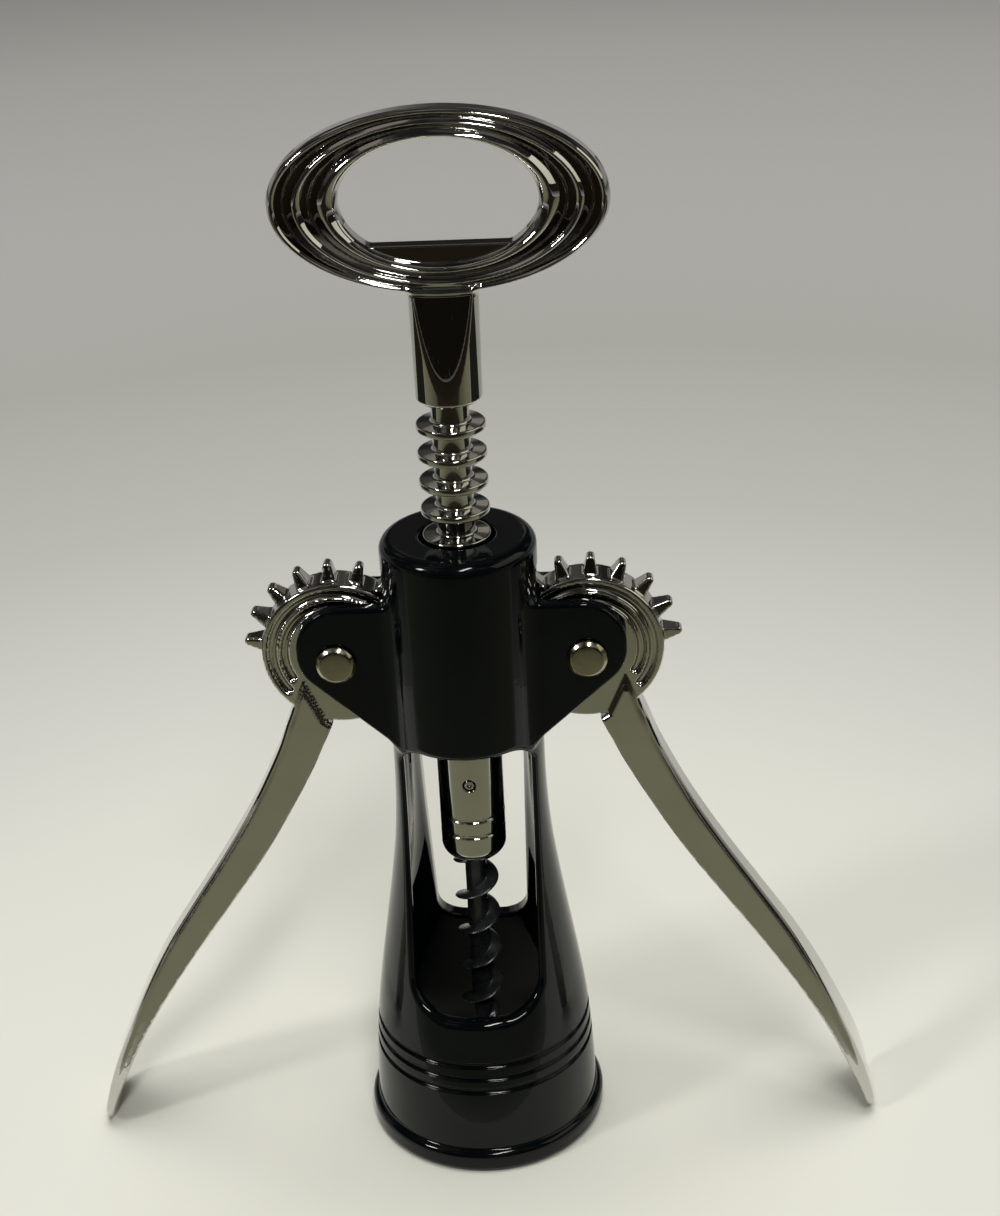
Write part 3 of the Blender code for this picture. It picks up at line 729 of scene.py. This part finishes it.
def make_floor():
    mesh = bpy.data.meshes.new("floor")
    mesh.from_pydata([(-3, -3, 0), (3, -3, 0), (3, 3, 0), (-3, 3, 0)], [], [(0, 1, 2, 3)])
    floor = bpy.data.objects.new("floor", mesh)
    bpy.context.scene.collection.objects.link(floor)
    look = Look("floor_look", (0.70, 0.71, 0.64), 0.6)
    place_ = look.node("VectorMath", operation='LENGTH')
    look.join(look.coords.outputs["Object"], place_.inputs[0])
    # Painted shade and light on the floor: its colour darkens with distance from the object to a low near 0.45 m,
    # then grows lighter again out to 1 m.
    tone = look.ramp(place_.outputs["Value"], (0.04, (0.68, 0.685, 0.625)), (0.14, (0.645, 0.65, 0.605)),
                     (0.20, (0.58, 0.585, 0.56)), (0.30, (0.48, 0.485, 0.465)),
                     (0.45, (0.43, 0.435, 0.415)), (0.70, (0.555, 0.55, 0.54)), (1.0, (0.66, 0.655, 0.64)))
    look.join(tone, look.shader.inputs["Base Color"])
    look.shader.inputs["Specular IOR Level"].default_value = 0.2
    mesh.materials.append(look.mat)


def make_painted_reflection(name, corners, ramp_along, pairs):
    """Glowing card that paints a reflection: seen only in reflections, it shades nothing and lights nothing."""
    mesh = bpy.data.meshes.new(name)
    mesh.from_pydata(corners, [], [(0, 1, 2, 3)])
    card = bpy.data.objects.new(name, mesh)
    bpy.context.scene.collection.objects.link(card)
    card.visible_camera = card.visible_diffuse = card.visible_shadow = False
    card.visible_transmission = card.visible_volume_scatter = False
    mat = bpy.data.materials.new(name)
    mat.use_nodes = True
    tree = mat.node_tree
    tree.nodes.clear()
    out = tree.nodes.new("ShaderNodeOutputMaterial")
    glow = tree.nodes.new("ShaderNodeEmission")
    coords = tree.nodes.new("ShaderNodeTexCoord")
    split = tree.nodes.new("ShaderNodeSeparateXYZ")
    span = tree.nodes.new("ShaderNodeMapRange")
    ramp = tree.nodes.new("ShaderNodeValToRGB")
    tree.links.new(coords.outputs["Object"], split.inputs[0])
    tree.links.new(split.outputs[ramp_along], span.inputs["Value"])
    span.inputs["From Min"].default_value = pairs[0][0]
    span.inputs["From Max"].default_value = pairs[-1][0]
    tree.links.new(span.outputs["Result"], ramp.inputs["Fac"])
    for n, (at, colour) in enumerate(pairs):
        at = (at - pairs[0][0]) / (pairs[-1][0] - pairs[0][0])
        add_stop(ramp.color_ramp.elements, n, at, colour)
    tree.links.new(ramp.outputs["Color"], glow.inputs["Color"])
    tree.links.new(glow.outputs[0], out.inputs["Surface"])
    mesh.materials.append(mat)


def make_light(name, centre, toward, along, length, width, watts, seen=True):
    """Area light with its long side along a direction; unseen ones give no reflection."""
    data = bpy.data.lights.new(name, 'AREA')
    data.shape = 'RECTANGLE'
    data.size, data.size_y, data.energy, data.color = length, width, watts, (1, 0.985, 0.95)
    lamp = bpy.data.objects.new(name, data)
    bpy.context.scene.collection.objects.link(lamp)
    lamp.visible_glossy = seen
    back = (Vector(centre) - Vector(toward)).normalized()
    across = back.cross(Vector(along)).normalized()
    aim = Matrix((across.cross(back), across, back)).transposed().to_4x4()
    lamp.matrix_world = Matrix.Translation(centre) @ aim


def make_world():
    """Room: a pale wall low behind the object, darker above and on the front side."""
    world = bpy.data.worlds.new("studio")
    bpy.context.scene.world = world
    world.use_nodes = True
    tree = world.node_tree
    back = tree.nodes["Background"]
    coords = tree.nodes.new("ShaderNodeTexCoord")
    split = tree.nodes.new("ShaderNodeSeparateXYZ")
    tree.links.new(coords.outputs["Generated"], split.inputs[0])

    def ramp(source, low, high, pairs):
        span = tree.nodes.new("ShaderNodeMapRange")
        span.inputs["From Min"].default_value, span.inputs["From Max"].default_value = low, high
        tree.links.new(source, span.inputs["Value"])
        node = tree.nodes.new("ShaderNodeValToRGB")
        for n, (at, colour) in enumerate(pairs):
            add_stop(node.color_ramp.elements, n, at, colour)
        tree.links.new(span.outputs["Result"], node.inputs["Fac"])
        return node.outputs["Color"]

    wall = ramp(split.outputs["Y"], -1, 1, [(0.0, (0.008, 0.007, 0.005)), (0.38, (0.016, 0.015, 0.012)), (0.5, (0.04, 0.04, 0.035)),
                                            (0.60, (0.24, 0.24, 0.22)), (0.85, (0.36, 0.36, 0.345))])
    upper = ramp(split.outputs["Z"], -1, 1, [(0.58, (0, 0, 0)), (0.62, (1, 1, 1))])
    noise = tree.nodes.new("ShaderNodeTexNoise")
    noise.inputs["Scale"].default_value = 3.2
    noise.inputs["Detail"].default_value = 1.0
    tree.links.new(coords.outputs["Generated"], noise.inputs["Vector"])
    room = ramp(noise.outputs["Fac"], 0, 1, [(0.46, (0.020, 0.020, 0.019)), (0.52, (0.060, 0.060, 0.056)),
                                             (0.60, (0.075, 0.072, 0.062)), (0.63, (0.30, 0.28, 0.25))])
    mixed = tree.nodes.new("ShaderNodeMix")
    mixed.data_type = 'RGBA'
    tree.links.new(upper, mixed.inputs["Factor"])
    tree.links.new(wall, mixed.inputs[6])
    tree.links.new(room, mixed.inputs[7])
    tree.links.new(mixed.outputs[2], back.inputs["Color"])
    back.inputs["Strength"].default_value = 1.0


make_floor()
make_world()
# Painted reflections round the object: glowing floor-level cards, pale close to the object and dark further out, that
# the chrome and lacquer mirror in place of the floor.
make_painted_reflection("front_painted_reflection", [(-0.9, -0.036, 0.0006), (0.9, -0.036, 0.0006), (0.9, -1.6, 0.0006), (-0.9, -1.6, 0.0006)],
          "Y", [(-1.6, (0.012, 0.010, 0.007)), (-0.5, (0.02, 0.015, 0.010)), (-0.31, (0.03, 0.022, 0.015)),
                (-0.29, (0.10, 0.10, 0.07)), (-0.17, (0.20, 0.20, 0.13)), (-0.052, (0.235, 0.24, 0.16)),
                (-0.036, (0.45, 0.455, 0.40))])
make_painted_reflection("left_painted_reflection", [(-0.9, -0.036, 0.0006), (-0.9, 0.25, 0.0006), (-0.19, 0.25, 0.0006), (-0.19, -0.036, 0.0006)],
          "X", [(-0.9, (0.012, 0.011, 0.008)), (-0.30, (0.02, 0.02, 0.015)), (-0.19, (0.40, 0.41, 0.37))])
make_painted_reflection("right_painted_reflection", [(0.19, -0.036, 0.0006), (0.19, 0.25, 0.0006), (0.9, 0.25, 0.0006), (0.9, -0.036, 0.0006)],
          "X", [(0.19, (0.40, 0.41, 0.37)), (0.30, (0.02, 0.02, 0.015)), (0.9, (0.012, 0.011, 0.008))])
# Painted reflection: a bright cream glowing card up at the right, seen only in reflections, that paints broad pale
# bands on the chrome.
make_painted_reflection("wall_painted_reflection", [(0.80, -0.50, 0.30), (0.80, 0.36, 0.30), (0.68, 0.36, 0.78), (0.68, -0.50, 0.78)],
          "Z", [(0.30, (0.80, 0.79, 0.64)), (0.78, (1.05, 1.04, 0.86))])
make_light("tube", (0.215, -0.812, 1.208), (0.0, 0.0, 0.13), (0.341, 0.798, 0.496), 0.60, 0.11, 8.0)
make_light("window", (-0.86, -0.54, 0.77), (0.0, 0.0, 0.13), (0.25, -0.30, 0.92), 0.22, 0.15, 4.2)
make_light("fill", (0.05, 0.12, 1.3), (0.0, 0.0, 0.0), (1, 0, 0), 0.8, 0.8, 12.6, seen=False)

bpy.context.scene.view_settings.view_transform = 'Standard'
